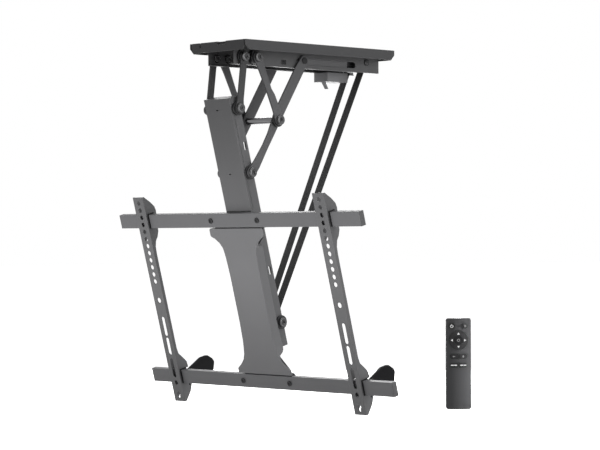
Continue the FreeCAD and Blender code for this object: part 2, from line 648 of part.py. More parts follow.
for name, top in rail_rows:
    tube = box((f"-{half_r}", half_r), ("0", "rail_depth"), (f"{top} - rail_height", top))
    bore = box((f"-{half_r} - 1", f"{half_r} + 1"), ("rail_sheet", "rail_depth - rail_sheet"),
               (f"{top} - rail_height + rail_sheet", f"{top} - rail_sheet"))
    holes = [rod("y", "-1", "rail_depth + 1", x, up, "rail_bolt_r + 0.1") for x, up in rail_bolt_spots(top)]
    keep(cut(tube, bore, *holes), name, COLUMN)
keep(group(*[
    fuse(box(span(sign, half_r, f"{half_r} + cap_sheet"), ("0", "rail_depth"), (f"{top} - rail_height", top)),
         box(span(sign, f"{half_r} - 8", half_r), ("rail_sheet + 0.1", "rail_depth - rail_sheet - 0.1"),
             (f"{top} - rail_height + rail_sheet + 0.1", f"{top} - rail_sheet - 0.1")))
    for _, top in rail_rows for _, sign in SIDES
]), "rail_end_caps", COLUMN)
keep(group(*[
    cut(fuse(rod("y", "-2", "0", x, up, "rail_bolt_r + 3"),
             rod("y", "0", "rail_depth + cover_sheet + 1", x, up, "rail_bolt_r")),
        rod("y", "-3", "-0.6", x, up, "rail_bolt_r"))
    for _, top in rail_rows for x, up in rail_bolt_spots(top)
]), "rail_bolts", COLUMN)

# Cover: a pressed tray between the rails, flared at both ends, whose walls reach back past the
# column's front. Tabs at its ends run behind the rails and take their bolts.
half_flare = "cover_flare / 2"
half_cover = "cover_width / 2"
cover_high = "-rail_height - cover_gap"
cover_low = "-rail_gap + cover_gap"


def cover_ring(inset):
    """The cover's outline, drawn in by an inset."""
    side = [
        (f"{half_flare} - 2", f"{cover_high} - {inset}"), (half_flare, f"{cover_high} - 3 - {inset}"),
        (half_flare, f"{cover_high} - 15"), (f"{half_flare} - 2", f"{cover_high} - 18"),
        (f"{half_cover} + 25", f"{cover_high} - 22"), (f"{half_cover} + 13", f"{cover_high} - 31"),
        (f"{half_cover} + 5", f"{cover_high} - 43"), (f"{half_cover} + 2", f"{cover_high} - 62"),
        (half_cover, f"{cover_high} - 105"), (half_cover, f"{cover_low} + 112"),
        (f"{half_cover} + 2", f"{cover_low} + 70"), (f"{half_cover} + 6", f"{cover_low} + 44"),
        (f"{half_cover} + 12", f"{cover_low} + 30"), (f"{half_cover} + 22", f"{cover_low} + 20"),
        (f"{half_flare} - 3", f"{cover_low} + 12"), (f"{half_flare} - 1", f"{cover_low} + 8"),
        (f"{half_flare} - 1", f"{cover_low} + {inset}"),
    ]
    right = [(f"{x} - {inset}", z) for x, z in side]
    return right + [(f"-({x})", z) for x, z in reversed(right)]


tray_outer = outline("XZ_Plane", cover_ring("0"), "cover_wall", "cover_wall")
tray_inner = outline("XZ_Plane", cover_ring("cover_sheet"), "cover_wall", "cover_wall + cover_sheet")
open_ends = [
    box((f"-({half_flare}) + 3", f"{half_flare} - 3"), ("rail_depth + cover_sheet", "cover_wall + 1"),
        (low, high))
    for low, high in ((f"{cover_high} - 3", f"{cover_high} + 1"), (f"{cover_low} - 1", f"{cover_low} + 3"))
]
tabs = [
    box((f"-({half_flare}) + 4", f"{half_flare} - 4"), ("rail_depth", "rail_depth + cover_sheet"),
        (low, high))
    for low, high in ((f"{cover_high} - cover_sheet", -3),
                      ("-rail_gap - rail_height + 3", f"{cover_low} + cover_sheet"))
]
for name, sign in SIDES:
    wedge = [
        (f"{sign} * ({half_cover} + 4)", "cover_wall + 1"), (f"{sign} * ({half_flare} + 2)", "3"),
        (f"{sign} * ({half_flare} + 2)", "cover_wall + 1"),
    ]
    open_ends.append(outline("XY_Plane", wedge, "rail_gap - rail_height", f"{cover_low} - 1"))
    low_rim = [
        (f"{sign} * ({half_cover} + 3)", "cover_wall + 1"), (f"{sign} * ({half_cover} + 6)", "5"),
        (f"{sign} * ({half_flare} + 2)", "4"), (f"{sign} * ({half_flare} + 2)", "cover_wall + 1"),
    ]
    open_ends.append(outline("XY_Plane", low_rim, f"{cover_high} - ({cover_low}) - 10", f"{cover_low} + 5"))
bosses = [
    cut(rod("y", "cover_sheet - 0.5", "column_front", x, up, 7),
        rod("y", "column_front - 10", "column_front + 1", x, up, 3))
    for x, up in column_bolt_spots
]
tab_holes = [
    rod("y", "rail_depth - 1", "rail_depth + cover_sheet + 1", x, up, "rail_bolt_r")
    for _, top in rail_rows for x, up in rail_bolt_spots(top)
]
keep(fuse(cut(fuse(cut(tray_outer, tray_inner, *open_ends), *tabs), *tab_holes), *bosses), "column_cover",
     COLUMN)
keep(group(*[
    fuse(rod("y", "column_front - 9", "column_front + column_sheet", x, up, 3),
         rod("y", "column_front + column_sheet", "column_front + column_sheet + 3", x, up, 5.5))
    for x, up in column_bolt_spots
]), "cover_screws", COLUMN)

# Screen brackets: folded channels that hook on the rails from the front and slide along them.
bracket_low = "bracket_rise - bracket_length"
front = "-bracket_front"
flange_points = [
    (front, "bracket_rise"), (f"{front} + 4", "bracket_rise"), ("hook_reach - 10", "bracket_rise - 15"),
    ("hook_reach - 1", "bracket_rise - 27"), ("hook_reach + 1", "bracket_rise - 36"), ("hook_reach", "-10"),
    ("rail_depth + rail_play", "-10"), ("rail_depth + rail_play", "rail_play"), ("-rail_play", "rail_play"),
    ("-rail_play", "-rail_height - rail_play"), ("hook_reach - 3", "-rail_height - rail_play"),
    ("hook_reach - 4", "-rail_height - 11"), ("hook_reach - 9", "-rail_height - 22"),
    (f"{front} + flange_depth + 5", "-rail_height - 30"),
    (f"{front} + flange_depth + 1", "-rail_height - 42"),
    (f"{front} + flange_depth", "-rail_height - 58"), (f"{front} + flange_depth", "-rail_gap + 50"),
    (f"{front} + flange_depth + 2", "-rail_gap + 37"), ("hook_reach - 7", "-rail_gap + 22"),
    ("hook_reach - 1", "-rail_gap + 13"), ("hook_reach", "-rail_gap + 4"),
    ("hook_reach", "-rail_gap + rail_play"), ("-rail_play", "-rail_gap + rail_play"),
    ("-rail_play", "-rail_gap - rail_height - rail_play"),
    ("hook_reach + 1.5", "-rail_gap - rail_height - rail_play"),
    ("hook_reach + 1.5", "-rail_gap - rail_height - 8"), ("hook_reach - 7", "-rail_gap - rail_height - 24"),
    (f"{front} + flange_depth - 2", bracket_low), (front, bracket_low),
]
long_holes = [(f"-slot_{letter}_top", f"-slot_{letter}_top - slot_{letter}_length") for letter in "abc"]
lever_up = "-rail_gap - rail_height - lever_drop"
lever_depth = "hook_reach - 6"
for name, sign in SIDES:
    x = f"{sign} * bracket_{name}_place"
    left = f"{x} - bracket_width / 2"
    right = f"{x} + bracket_width / 2"
    face = box((left, right), (front, f"{front} + bracket_sheet"), (bracket_low, "bracket_rise"))
    edges = (left, f"{right} - bracket_sheet")
    flanges = [outline("YZ_Plane", flange_points, "bracket_sheet", edge) for edge in edges]
    tools = [rod("y", f"{front} - 1", f"{front} + bracket_sheet + 1", x, f"vesa_first - {k} * vesa_pitch",
                 "vesa_hole_r")
             for k in range(12)]
    tools.append(rod("y", f"{front} - 1", f"{front} + bracket_sheet + 1", x, "-lone_hole_drop",
                     "vesa_hole_r + 0.6"))
    tools.append(rod("y", f"{front} - 1", f"{front} + bracket_sheet + 1", x, "-foot_hole_drop",
                     "vesa_hole_r"))
    tools.append(rod("y", f"{front} - 1", f"{front} + bracket_sheet + 1", x, "-keyhole_drop", "vesa_hole_r"))
    tools.append(slot_tool("y", f"{front} - 1", f"{front} + bracket_sheet + 1",
                           "-keyhole_drop - keyhole_length",
                           "-keyhole_drop", x, "keyhole_r", "z"))
    for high, low in long_holes:
        tools.append(slot_tool("y", f"{front} - 1", f"{front} + bracket_sheet + 1", f"{low} + vesa_slot_r",
                               f"{high} - vesa_slot_r", x, "vesa_slot_r", "z"))
    tools.append(rod("x", f"{left} - 1", f"{right} + 1", lever_depth, lever_up, "2.1"))
    keep(cut(fuse(face, *flanges), *tools), f"bracket_{name}", COLUMN)

# Lock levers: plastic paddles behind the bottom rail that swing on stub axles in the bracket's walls.
for name, sign in SIDES:
    x = f"{sign} * bracket_{name}_place"
    paddle = outline("YZ_Plane", [
        (f"{lever_depth} - 6", f"{lever_up} - 6"), (f"{lever_depth} + 6", f"{lever_up} - 6"),
        (f"{lever_depth} + 12", f"{lever_up} + 1"), (f"{lever_depth} + lever_reach - 8", f"{lever_up} + 3"),
        (f"{lever_depth} + lever_reach", f"{lever_up} + lever_rise - 21"),
        (f"{lever_depth} + lever_reach - 4", f"{lever_up} + lever_rise - 12"),
        (f"{lever_depth} + lever_reach - 15", f"{lever_up} + lever_rise - 2"),
        (f"{lever_depth} + lever_reach - 22", f"{lever_up} + lever_rise"),
        (f"{lever_depth} + lever_reach - 38", f"{lever_up} + lever_rise"),
        (f"{lever_depth} + 19", f"{lever_up} + lever_rise - 13"),
        (f"{lever_depth} - 3.5", f"{lever_up} + lever_rise - 18"),
        (f"{lever_depth} - 3.5", f"{lever_up} + 10"), (f"{lever_depth} - 6", f"{lever_up} + 3"),
    ], "lever_width", f"{x} - lever_width / 2")
    axle = rod("x", f"{x} - bracket_width / 2", f"{x} + bracket_width / 2", lever_depth, lever_up, 2)
    collar = rod("x", f"{x} - bracket_width / 2 + bracket_sheet + 0.3",
                 f"{x} + bracket_width / 2 - bracket_sheet - 0.3",
                 lever_depth, lever_up, 4)
    keep(fuse(paddle, axle, collar), f"lock_lever_{name}", COLUMN)

# Lift drum: a shaft in two bushes carries two flanged drums and the driven gear.
drum = ("drum_y", "-drum_drop")
shaft_half = f"{half_c} + 2"
keep(rod("x", f"-({shaft_half})", shaft_half, *drum, "drum_shaft_r"), "drum_shaft")
keep(group(*[
    ring(sign, f"{half_c} - channel_sheet - 2", f"{half_c} + 1.5", *drum, "drum_shaft_r + 2.9",
         "drum_shaft_r + run_gap")
    for _, sign in SIDES
]), "drum_shaft_bushes")
near = "drum_spacing / 2 - drum_width / 2"
far = "drum_spacing / 2 + drum_width / 2"
drums = []
rolls = []
for name, sign in SIDES:
    core = rod("x", *span(sign, near, far), *drum, "drum_core_r")
    rims = [rod("x", *span(sign, low, f"{low} + 1.2"), *drum, "drum_flange_r") for low in (near,
                                                                                           f"{far} - 1.2")]
    bore = rod("x", *span(sign, f"{near} - 1", f"{far} + 1"), *drum, "drum_shaft_r")
    drums.append(cut(fuse(core, *rims), bore))
    middle = span(sign, "drum_spacing / 2 - strap_width / 2", "drum_spacing / 2 + strap_width / 2")
    roll = rod("x", *middle, *drum, "drum_core_r + strap_roll - strap_thickness")
    rolls.append(cut(roll, rod("x", f"{middle[0]} - 1", f"{middle[1]} + 1", *drum, "drum_core_r")))
keep(group(*drums), "lift_drums")
keep(group(*rolls), "strap_rolls")

# Lift straps: flat webbing from the drum to the strap pin, a little closer together at the foot.
straps = []
for name, sign in SIDES:
    top_x = sign * size["drum_spacing"] / 2
    low_x = sign * size["strap_low_spacing"] / 2
    half = size["strap_width"] / 2
    thick = size["strap_thickness"]
    sections = []
    for middle_x, z in ((top_x, 0.0), (low_x, -strap_length + size["bolt_r"] + 0.05)):
        corners = [(middle_x - half, -thick), (middle_x + half, -thick), (middle_x + half, 0),
                   (middle_x - half, 0)]
        points = [FreeCAD.Vector(px, py, z) for px, py in corners]
        sections.append(Part.makePolygon(points + points[:1]))
    strap = add("Part::Feature", "strap")
    strap.Shape = Part.makeLoft(sections, True, True)
    straps.append(strap)
keep(group(*straps), "lift_straps", side_place(strap_top, -strap_lean))

# Gear motor: a round motor with its gearbox beside the drum, whose pinion meshes with the drum gear.
module = 2 * size["drum_gear_r"] / size["drum_gear_teeth"]
pinion_axis = (drum_axis[0] - module * (size["drum_gear_teeth"] + size["pinion_teeth"]) / 2, drum_axis[1])


def gear(teeth, bore_r, width, phase):
    """A spur gear about the local X axis, its teeth as trapezoids between root and tip circles."""
    root = module * (teeth / 2 - 1.2)
    tip = module * (teeth / 2 + 0.9)
    pitch = module * teeth / 2
    points = []
    for k in range(teeth):
        middle = 2 * math.pi * (k + phase) / teeth
        for r, share in ((root, -0.34), (pitch, -0.20), (tip, -0.09), (tip, 0.09), (pitch, 0.20),
                         (root, 0.34)):
            angle = middle + share * 2 * math.pi / teeth
            points.append(FreeCAD.Vector(0, r * math.cos(angle), r * math.sin(angle)))
    face = Part.Face(Part.makePolygon(points + points[:1]))
    solid = face.extrude(FreeCAD.Vector(width, 0, 0))
    return solid.cut(Part.makeCylinder(bore_r, width + 2, FreeCAD.Vector(-1, 0, 0), FreeCAD.Vector(1, 0, 0)))


gear_x = -size["gear_width"] / 2
drum_gear = doc.addObject("Part::Feature", "driven_gear")
drum_gear.Shape = gear(size["drum_gear_teeth"], size["drum_shaft_r"], size["gear_width"], 0.0)
keep(drum_gear, "drum_gear", FreeCAD.Placement(FreeCAD.Vector(gear_x, *drum_axis), FreeCAD.Rotation()))
motor_place = side_place(pinion_axis)
pinion = doc.addObject("Part::Feature", "driving_gear")
pinion.Shape = gear(size["pinion_teeth"], 2.0, size["gear_width"], 0.5)
pinion.Placement = FreeCAD.Placement(FreeCAD.Vector(gear_x, 0, 0), FreeCAD.Rotation())
motor_shaft = rod("x", "-gear_width / 2 - 3", "gear_width / 2 + 6", "0", "0", 2)
keep(fuse(motor_shaft, pinion), "motor_pinion", motor_place)
gearbox = box(("gear_width / 2 + 1", "gear_width / 2 + 22"), (-17, 2.5),
              ("-motor_r", "drum_drop - plate_sheet - channel_sheet"))
keep(cut(gearbox, rod("x", "0", "gear_width / 2 + 7", "0", "0", 2.06)), "gearbox_case", motor_place)
keep(rod("y", "-17 - motor_length", -17, "gear_width / 2 + 11.5", "0", "motor_r - 3"), "lift_motor",
     motor_place)

# Control box under the channel, with its board, receiver window, power inlet and cord clip.
box_y = f"channel_back - 120 + box_front - 95"
box_x = (f"-{half_c}", f"-{half_c} + box_width")
box_top = channel_low
shell = box(box_x, (box_y, f"{box_y} + box_length"), (f"{box_top} - box_height", box_top))
room = box((f"{box_x[0]} + box_wall", f"{box_x[1]} - box_wall"),
           (f"{box_y} + box_wall", f"{box_y} + box_length - box_wall"),
           (f"{box_top} - box_height + box_wall", f"{box_top} + 1"))
inlet = cut(rod("y", f"{box_y} + box_length - 8", f"{box_y} + box_length + 1", f"{box_x[0]} + 12",
                f"{box_top} - 10", 4),
            rod("y", f"{box_y} + box_length - 4", f"{box_y} + box_length + 2", f"{box_x[0]} + 12",
                f"{box_top} - 10", 2.5))
clip = outline("YZ_Plane", [
    (f"{box_y} + 2", f"{box_top} - box_height"), (f"{box_y} + 8", f"{box_top} - box_height"),
    (f"{box_y} + 17", f"{box_top} - box_height - 15"), (f"{box_y} + 13", f"{box_top} - box_height - 15.5"),
], 8, f"{box_x[1]} - 22")
inlet_room = rod("y", f"{box_y} + box_length - 4", f"{box_y} + box_length + 2", f"{box_x[0]} + 12",
                 f"{box_top} - 10", 2.5)
keep(fuse(cut(shell, room, inlet_room), inlet, clip), "control_box")
keep(box((f"{box_x[0]} + box_wall + 0.5", f"{box_x[1]} - box_wall - 0.5"),
         (f"{box_y} + box_wall + 0.5", f"{box_y} + box_length - box_wall - 8"),
         (f"{box_top} - box_height + box_wall", f"{box_top} - box_height + box_wall + 6")), "control_board")

# Remote control, standing upright beside the mount and turned to face the viewer.
half_rw = "remote_width / 2"
half_rh = "remote_height / 2"
REMOTE = FreeCAD.Placement(
    FreeCAD.Vector(size["remote_x"], size["remote_y"], -size["remote_z"]),
    FreeCAD.Rotation(FreeCAD.Vector(0, 0, 1), size["remote_turn"]),
)


def rounded(x, y, z, r):
    """A slab seen from the front, along Y, with round corners."""
    inner_x = (f"{x[0]} + {r}", f"{x[1]} - ({r})")
    inner_z = (f"{z[0]} + {r}", f"{z[1]} - ({r})")
    corners = [rod("y", *y, cx, cz, r) for cx in inner_x for cz in inner_z]
    return fuse(box(inner_x, y, z), box(x, y, inner_z), *corners)


full_x = (f"-({half_rw})", half_rw)
full_z = (f"-({half_rh})", half_rh)
room_x = (f"-({half_rw}) + remote_wall", f"{half_rw} - remote_wall")
room_z = (f"-({half_rh}) + remote_wall", f"{half_rh} - remote_wall")
split = "remote_front_part"
thick = "remote_thick"
front_shell = rounded(full_x, ("0", split), full_z, "remote_corner")
front_room = box(room_x, ("remote_wall", f"{split} + 1"), room_z)
keys = [
    ("power_key", "-13.5", "75.5", 6.2), ("menu_key", "13.5", "75.5", 5.2), ("ok_key", "0", "47", 9.0),
    ("back_key", "-wide_key_reach", "14.5", 5), ("home_key", "wide_key_reach", "14.5", 5),
    ("preset_key", "-wide_key_reach", "-3", 5), ("start_key", "wide_key_reach", "-3", 5),
]
ring_outer = 19.5
key_holes = [rod("y", "-1", "remote_wall + 1", x, z, f"{r} + key_play") for name, x, z,
             r in keys if name != "ok_key"]
key_holes.append(rod("y", "-1", "remote_wall + 1", "0", "47", f"{ring_outer} + key_play"))
wide_keys = {"back_key": -1, "home_key": 1, "preset_key": -1, "start_key": 1}
for name, x, z, r in keys:
    if name in wide_keys:
        key_holes.append(box(span(wide_keys[name], "1 - key_play", "wide_key_reach"),
                             ("-1", "remote_wall + 1"),
                             (f"{z} - {r} - key_play", f"{z} + {r} + key_play")))
window_hole = box((-9, 9), ("3", "7"), (f"{half_rh} - remote_wall - 1", f"{half_rh} + 1"))
keep(cut(front_shell, front_room, window_hole, *key_holes), "remote_front_shell", REMOTE)
keep(cut(rounded(full_x, (split, thick), full_z, "remote_corner"),
         box(room_x, (f"{split} - 1", f"{thick} - remote_wall"), room_z),
         box((-19, 19), (f"{thick} - remote_wall - 1", f"{thick} + 1"), (-80, -10))), "remote_back_shell",
         REMOTE)
keep(box((-18.8, 18.8), (f"{thick} - remote_wall", thick), (-79.8, -10.2)), "battery_door", REMOTE)
keep(box((f"{room_x[0]} + 0.5", f"{room_x[1]} - 0.5"), ("5", "6.5"), (-20, f"{room_z[1]} - 1.5")),
     "remote_board", REMOTE)
keep(box((-8.8, 8.8), ("3.2", "6.8"), (f"{half_rh} - remote_wall", half_rh)), "infrared_window", REMOTE)
keep(group(rod("z", -72, -28, -9, 11.1, 5.2), rod("z", -72, -28, 9, 11.1, 5.2)), "remote_batteries", REMOTE)
for name, x, z, r in keys:
    cap = rod("y", "-key_stand", "3.4", x, z, r)
    if name in wide_keys:
        cap = fuse(cap, box(span(wide_keys[name], "1", "wide_key_reach"), ("-key_stand", "3.4"),
                            (f"{z} - {r}", f"{z} + {r}")))
    keep(cap, name, REMOTE)
ring_blank = rod("y", "-key_stand", "3.4", "0", "47", str(ring_outer))
keep(cut(ring_blank, rod("y", "-key_stand - 1", "5", "0", "47", "9.0 + key_play")), "direction_ring", REMOTE)

doc.recompute()
failed = [f"{item.Name} {item.Label}" for item in doc.Objects if {"Invalid", "Error"} & set(item.State)]
for item in parts:
    if item.Shape.isNull() or not item.Shape.isValid() or not item.Shape.Solids:
        failed.append(f"{item.Label} has no valid solid")
if failed:
    raise RuntimeError("; ".join(failed))
labels = [item.Label for item in parts]
if len(set(labels)) != len(labels):
    raise RuntimeError("two sub-parts share a name")

os.makedirs("parts", exist_ok=True)
for item in parts:
    item.Shape.exportStep(f"parts/{item.Label}.step")


def rounded_pair(point):
    """A point in millimetres to two decimals, for the printed summary."""
    return tuple(round(value, 4) for value in point)


print(len(parts), "sub-parts")
print("front pivot", rounded_pair(front_pivot), "short pivot", rounded_pair(short_pivot))
print("slide pin", rounded_pair(slide_pin), "knee", rounded_pair(knee))
print("column pivot", rounded_pair(column_pivot), "top pivot", rounded_pair(top_pivot))
print("column base", rounded_pair(column_base), "strap pin", rounded_pair(strap_pin))
print("drum", rounded_pair(drum_axis), "pinion", rounded_pair(pinion_axis), "strap top",
      rounded_pair(strap_top))
print("strap length", round(strap_length, 1), "front arm length", round(front_arm_length, 2))
print("turns to stow:", {key: round(value, 3) for key, value in fold.items()})
stowed_top = strap_exit(stowed_strap_pin)
stowed_lean = math.degrees(math.atan2(stowed_top[0] - stowed_strap_pin[0],
                                      stowed_top[1] - stowed_strap_pin[1]))
print("stowed strap pin", rounded_pair(stowed_strap_pin), "strap turn", round(strap_lean - stowed_lean, 4))
print("stowed strap length", round(math.dist(stowed_top, stowed_strap_pin), 3), "strap lean",
      round(strap_lean, 4))
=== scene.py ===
"""Looks of the folding ceiling mount for a television, and of its remote control.

Everything is in metres. X runs along the screen rails, Y from the front of the ceiling plate to
its back, Z up; the origin is the middle of the plate's top face.
"""

import json
import math

import bmesh
import bpy
import numpy as np
from mathutils import Matrix, Vector

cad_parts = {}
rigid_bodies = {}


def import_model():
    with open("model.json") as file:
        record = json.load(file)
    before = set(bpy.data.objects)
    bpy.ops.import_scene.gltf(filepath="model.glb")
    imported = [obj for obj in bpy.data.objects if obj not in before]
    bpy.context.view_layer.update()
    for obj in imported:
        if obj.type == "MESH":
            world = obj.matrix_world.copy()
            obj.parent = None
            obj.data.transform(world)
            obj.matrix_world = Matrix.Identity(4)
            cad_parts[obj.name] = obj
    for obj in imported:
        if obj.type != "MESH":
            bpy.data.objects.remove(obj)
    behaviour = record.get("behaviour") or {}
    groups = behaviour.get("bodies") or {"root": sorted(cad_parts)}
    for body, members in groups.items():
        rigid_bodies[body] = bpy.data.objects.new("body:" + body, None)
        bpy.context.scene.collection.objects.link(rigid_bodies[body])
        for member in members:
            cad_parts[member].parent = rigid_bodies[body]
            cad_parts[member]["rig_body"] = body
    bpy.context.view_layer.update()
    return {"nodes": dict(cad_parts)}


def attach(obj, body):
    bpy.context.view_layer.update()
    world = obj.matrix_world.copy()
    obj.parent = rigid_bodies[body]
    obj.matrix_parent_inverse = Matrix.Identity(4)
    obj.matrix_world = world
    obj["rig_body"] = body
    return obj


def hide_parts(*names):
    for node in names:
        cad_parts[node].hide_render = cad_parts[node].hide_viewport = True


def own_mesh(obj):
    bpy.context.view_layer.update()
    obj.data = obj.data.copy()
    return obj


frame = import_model()
node = frame["nodes"]

# Camera. It stands level with the middle of the mount, off its front right corner, and looks along
# the floor; a long lens keeps the uprights nearly parallel.
camera_azimuth = math.radians(46.0)
camera_elevation = math.radians(-0.288)
camera_roll = math.radians(-0.27)
camera_distance = 4.6886
camera_target = Vector((0.0, 0.01495, -0.37905))
sensor_width = 36.0
image_width = 600
focal_pixels = 2191.9
back = Vector((
    math.sin(camera_azimuth) * math.cos(camera_elevation),
    -math.cos(camera_azimuth) * math.cos(camera_elevation),
    math.sin(camera_elevation),
))
level_right = Vector((math.cos(camera_azimuth), math.sin(camera_azimuth), 0.0))
level_up = back.cross(level_right)
right = level_right * math.cos(camera_roll) + level_up * math.sin(camera_roll)
up = level_up * math.cos(camera_roll) - level_right * math.sin(camera_roll)
camera_data = bpy.data.cameras.new("camera")
camera_data.sensor_width = sensor_width
camera_data.lens = sensor_width * focal_pixels / image_width
camera = bpy.data.objects.new("camera", camera_data)
turn = Matrix((right, up, back)).transposed().to_4x4()
camera.matrix_world = Matrix.Translation(camera_target + back * camera_distance) @ turn
bpy.context.scene.collection.objects.link(camera)
bpy.context.scene.camera = camera

# Ceiling plate. A pressed steel tray, powder coated satin black; the coat has a fine pebbled
# skin. Its coat is painted darker than the other coats, a painted shade, and its folds and cut
# edges are painted paler, a painted highlight.
mottle_scale = 9.0
mottle_detail = 4.0
noise_low = 0.3
noise_high = 0.7
grain_detail = 2.0
grain_strength = 0.6
# The painted edge highlight: its rounding radius, and the cosines where it begins and where it is
# full.
highlight_radius = 0.0011
highlight_start = 0.995
highlight_full = 0.85
merge_distance = 0.000002
level_angle = math.radians(0.6)
sharp_angle = math.radians(32.0)


def finish(name, colour, roughness, metallic=0.0, grain=0.0009, depth=0.00003, mottle=0.05,
           edge_highlight=0.0, specular=0.5, pale=2.4):
    """A material on object coordinates. Broad noise varies the colour by the share mottle and the
    roughness by twice as much; noise of the size grain lifts the surface by depth. On the outer
    On the outer edges a painted highlight turns the colour pale times paler, by the share given for
    the highlight: the cosine between the true normal and one rounded over the highlight radius
    tells them, from the first highlight cosine on, and wholly at the full one."""
    made = bpy.data.materials.new(name)
    made.use_nodes = True
    nodes, links = made.node_tree.nodes, made.node_tree.links
    shader = nodes["Principled BSDF"]
    shader.inputs["Metallic"].default_value = metallic
    shader.inputs["Specular IOR Level"].default_value = specular
    place = nodes.new("ShaderNodeTexCoord").outputs["Object"]
    broad = nodes.new("ShaderNodeTexNoise")
    broad.inputs["Scale"].default_value = mottle_scale
    broad.inputs["Detail"].default_value = mottle_detail
    links.new(place, broad.inputs["Vector"])
    spread = nodes.new("ShaderNodeMapRange")
    spread.inputs["From Min"].default_value = noise_low
    spread.inputs["From Max"].default_value = noise_high
    spread.inputs["To Min"].default_value = 1.0 - mottle
    spread.inputs["To Max"].default_value = 1.0 + mottle
    links.new(broad.outputs["Fac"], spread.inputs["Value"])
    tint = nodes.new("ShaderNodeMix")
    tint.data_type = "RGBA"
    tint.blend_type = "MULTIPLY"
    tint.inputs["Factor"].default_value = 1.0
    tint.inputs[6].default_value = (*colour, 1.0)
    links.new(spread.outputs["Result"], tint.inputs[7])
    shade = tint.outputs[2]
    gloss = nodes.new("ShaderNodeMapRange")
    gloss.inputs["To Min"].default_value = roughness * (1.0 - 2.0 * mottle)
    gloss.inputs["To Max"].default_value = roughness * (1.0 + 2.0 * mottle)
    links.new(broad.outputs["Fac"], gloss.inputs["Value"])
    links.new(gloss.outputs["Result"], shader.inputs["Roughness"])
    fine = nodes.new("ShaderNodeTexNoise")
    fine.inputs["Scale"].default_value = 1.0 / grain
    fine.inputs["Detail"].default_value = grain_detail
    links.new(place, fine.inputs["Vector"])
    bump = nodes.new("ShaderNodeBump")
    bump.inputs["Strength"].default_value = grain_strength
    bump.inputs["Distance"].default_value = depth
    links.new(fine.outputs["Fac"], bump.inputs["Height"])
    # Painted highlight: the outer edges are made paler.
    if edge_highlight:
        rounding = nodes.new("ShaderNodeBevel")
        rounding.samples = 4
        rounding.inputs["Radius"].default_value = highlight_radius
        links.new(rounding.outputs["Normal"], bump.inputs["Normal"])
        compare = nodes.new("ShaderNodeVectorMath")
        compare.operation = "DOT_PRODUCT"
        links.new(rounding.outputs["Normal"], compare.inputs[0])
        links.new(nodes.new("ShaderNodeNewGeometry").outputs["True Normal"], compare.inputs[1])
        highlight_share = nodes.new("ShaderNodeMapRange")
        highlight_share.inputs["From Min"].default_value = highlight_start
        highlight_share.inputs["From Max"].default_value = highlight_full
        highlight_share.inputs["To Max"].default_value = edge_highlight
        links.new(compare.outputs["Value"], highlight_share.inputs["Value"])
        lighten = nodes.new("ShaderNodeMix")
        lighten.data_type = "RGBA"
        lighten.inputs[7].default_value = (*[min(1.0, pale * part) for part in colour], 1.0)
        links.new(highlight_share.outputs["Result"], lighten.inputs["Factor"])
        links.new(shade, lighten.inputs[6])
        shade = lighten.outputs[2]
    links.new(shade, shader.inputs["Base Color"])
    links.new(bump.outputs["Normal"], shader.inputs["Normal"])
    return made


def merged(material, name):
    """Stands a copy in the node's place, with its doubles merged and its level faces joined."""
    mesh = node[name].data.copy()
    work = bmesh.new()
    work.from_mesh(mesh)
    bmesh.ops.remove_doubles(work, verts=work.verts, dist=merge_distance)
    bmesh.ops.dissolve_limit(work, angle_limit=level_angle, verts=work.verts, edges=work.edges)
    work.to_mesh(mesh)
    work.free()
    mesh.attributes.remove(mesh.attributes["custom_normal"])
    mesh.shade_smooth()
    copy = bpy.data.objects.new(name + "_rounded", mesh)
    bpy.context.scene.collection.objects.link(copy)
    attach(copy, node[name]["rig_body"])
    mesh.materials.clear()
    mesh.materials.append(material)
    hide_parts(name)
    return copy


def rounded(material, radius, *names):
    """Stands a merged copy in each node's place, with every edge sharper than sharp_angle rolled
    over to the radius."""
    for name in names:
        roll = merged(material, name).modifiers.new("roll", "BEVEL")
        roll.width = radius
        roll.segments = 2
        roll.limit_method = "ANGLE"
        roll.angle_limit = sharp_angle
        roll.use_clamp_overlap = False
        roll.harden_normals = True


# The plate's coat is painted darker than the other coats as painted shade; its edges get a painted
# highlight.
plate_shade_coat = finish("plate_coat_painted_shade", (0.040, 0.040, 0.0415), 0.50, edge_highlight=0.45, specular=0.25,
                    pale=4.5)
rounded(plate_shade_coat, 0.0006, "ceiling_plate")

# Channel. It carries every arm, and is folded from one steel sheet with inward lips and screwed up
# under the plate; the slots in its sides guide the long arms.
# Its edges get a painted highlight.
channel_coat = finish("channel_powder_coat", (0.070, 0.070, 0.072), 0.50, edge_highlight=0.3, specular=0.3)
rounded(channel_coat, 0.0004, "channel_frame")

# Guide tracks. Rolled strips of zinc plated steel, fixed inside the channel behind its slots; the
# rollers run on them, so they have no coat and are greyer.
track_zinc = finish("track_zinc", (0.105, 0.105, 0.108), 0.42, metallic=0.3, grain=0.0007,
                    depth=0.00001)


def dress(material, *names):
    """Gives the finish to CAD nodes."""
    for name in names:
        slots = node[name].data.materials
        slots.clear()
        slots.append(material)


dress(track_zinc, "guide_tracks")

# Arms. Flat bars cut from steel plate and coated before assembly, so that the pivot bores stay bare
# inside; their edges get a painted highlight. The front pair has the darker coat of the ceiling
# plate, a painted shade for the shadow of the channel on them.
arm_coat = finish("arm_powder_coat", (0.074, 0.074, 0.077), 0.48, edge_highlight=0.3, specular=0.3)
rounded(arm_coat, 0.0005, "short_arm_left", "short_arm_right", "long_arm_left", "long_arm_right")
rounded(plate_shade_coat, 0.0005, "front_arm_left", "front_arm_right")

# Pivot hardware. Shouldered bolts and pins with sunk hexagon sockets, blackened and oiled; the
# turned rims of their heads are painted bright, a painted highlight.
black_oxide = finish("black_oxide", (0.040, 0.040, 0.041), 0.34, metallic=0.6, grain=0.0005,
                     depth=0.000012, edge_highlight=0.9, pale=7.0)
rounded(black_oxide, 0.0009, "channel_pivot_bolts", "top_pivot_bolts", "lower_pivot_pin",
        "strap_pin", "knee_shaft_heads")
dress(black_oxide, "channel_pivot_nuts", "channel_screws", "drum_shaft")

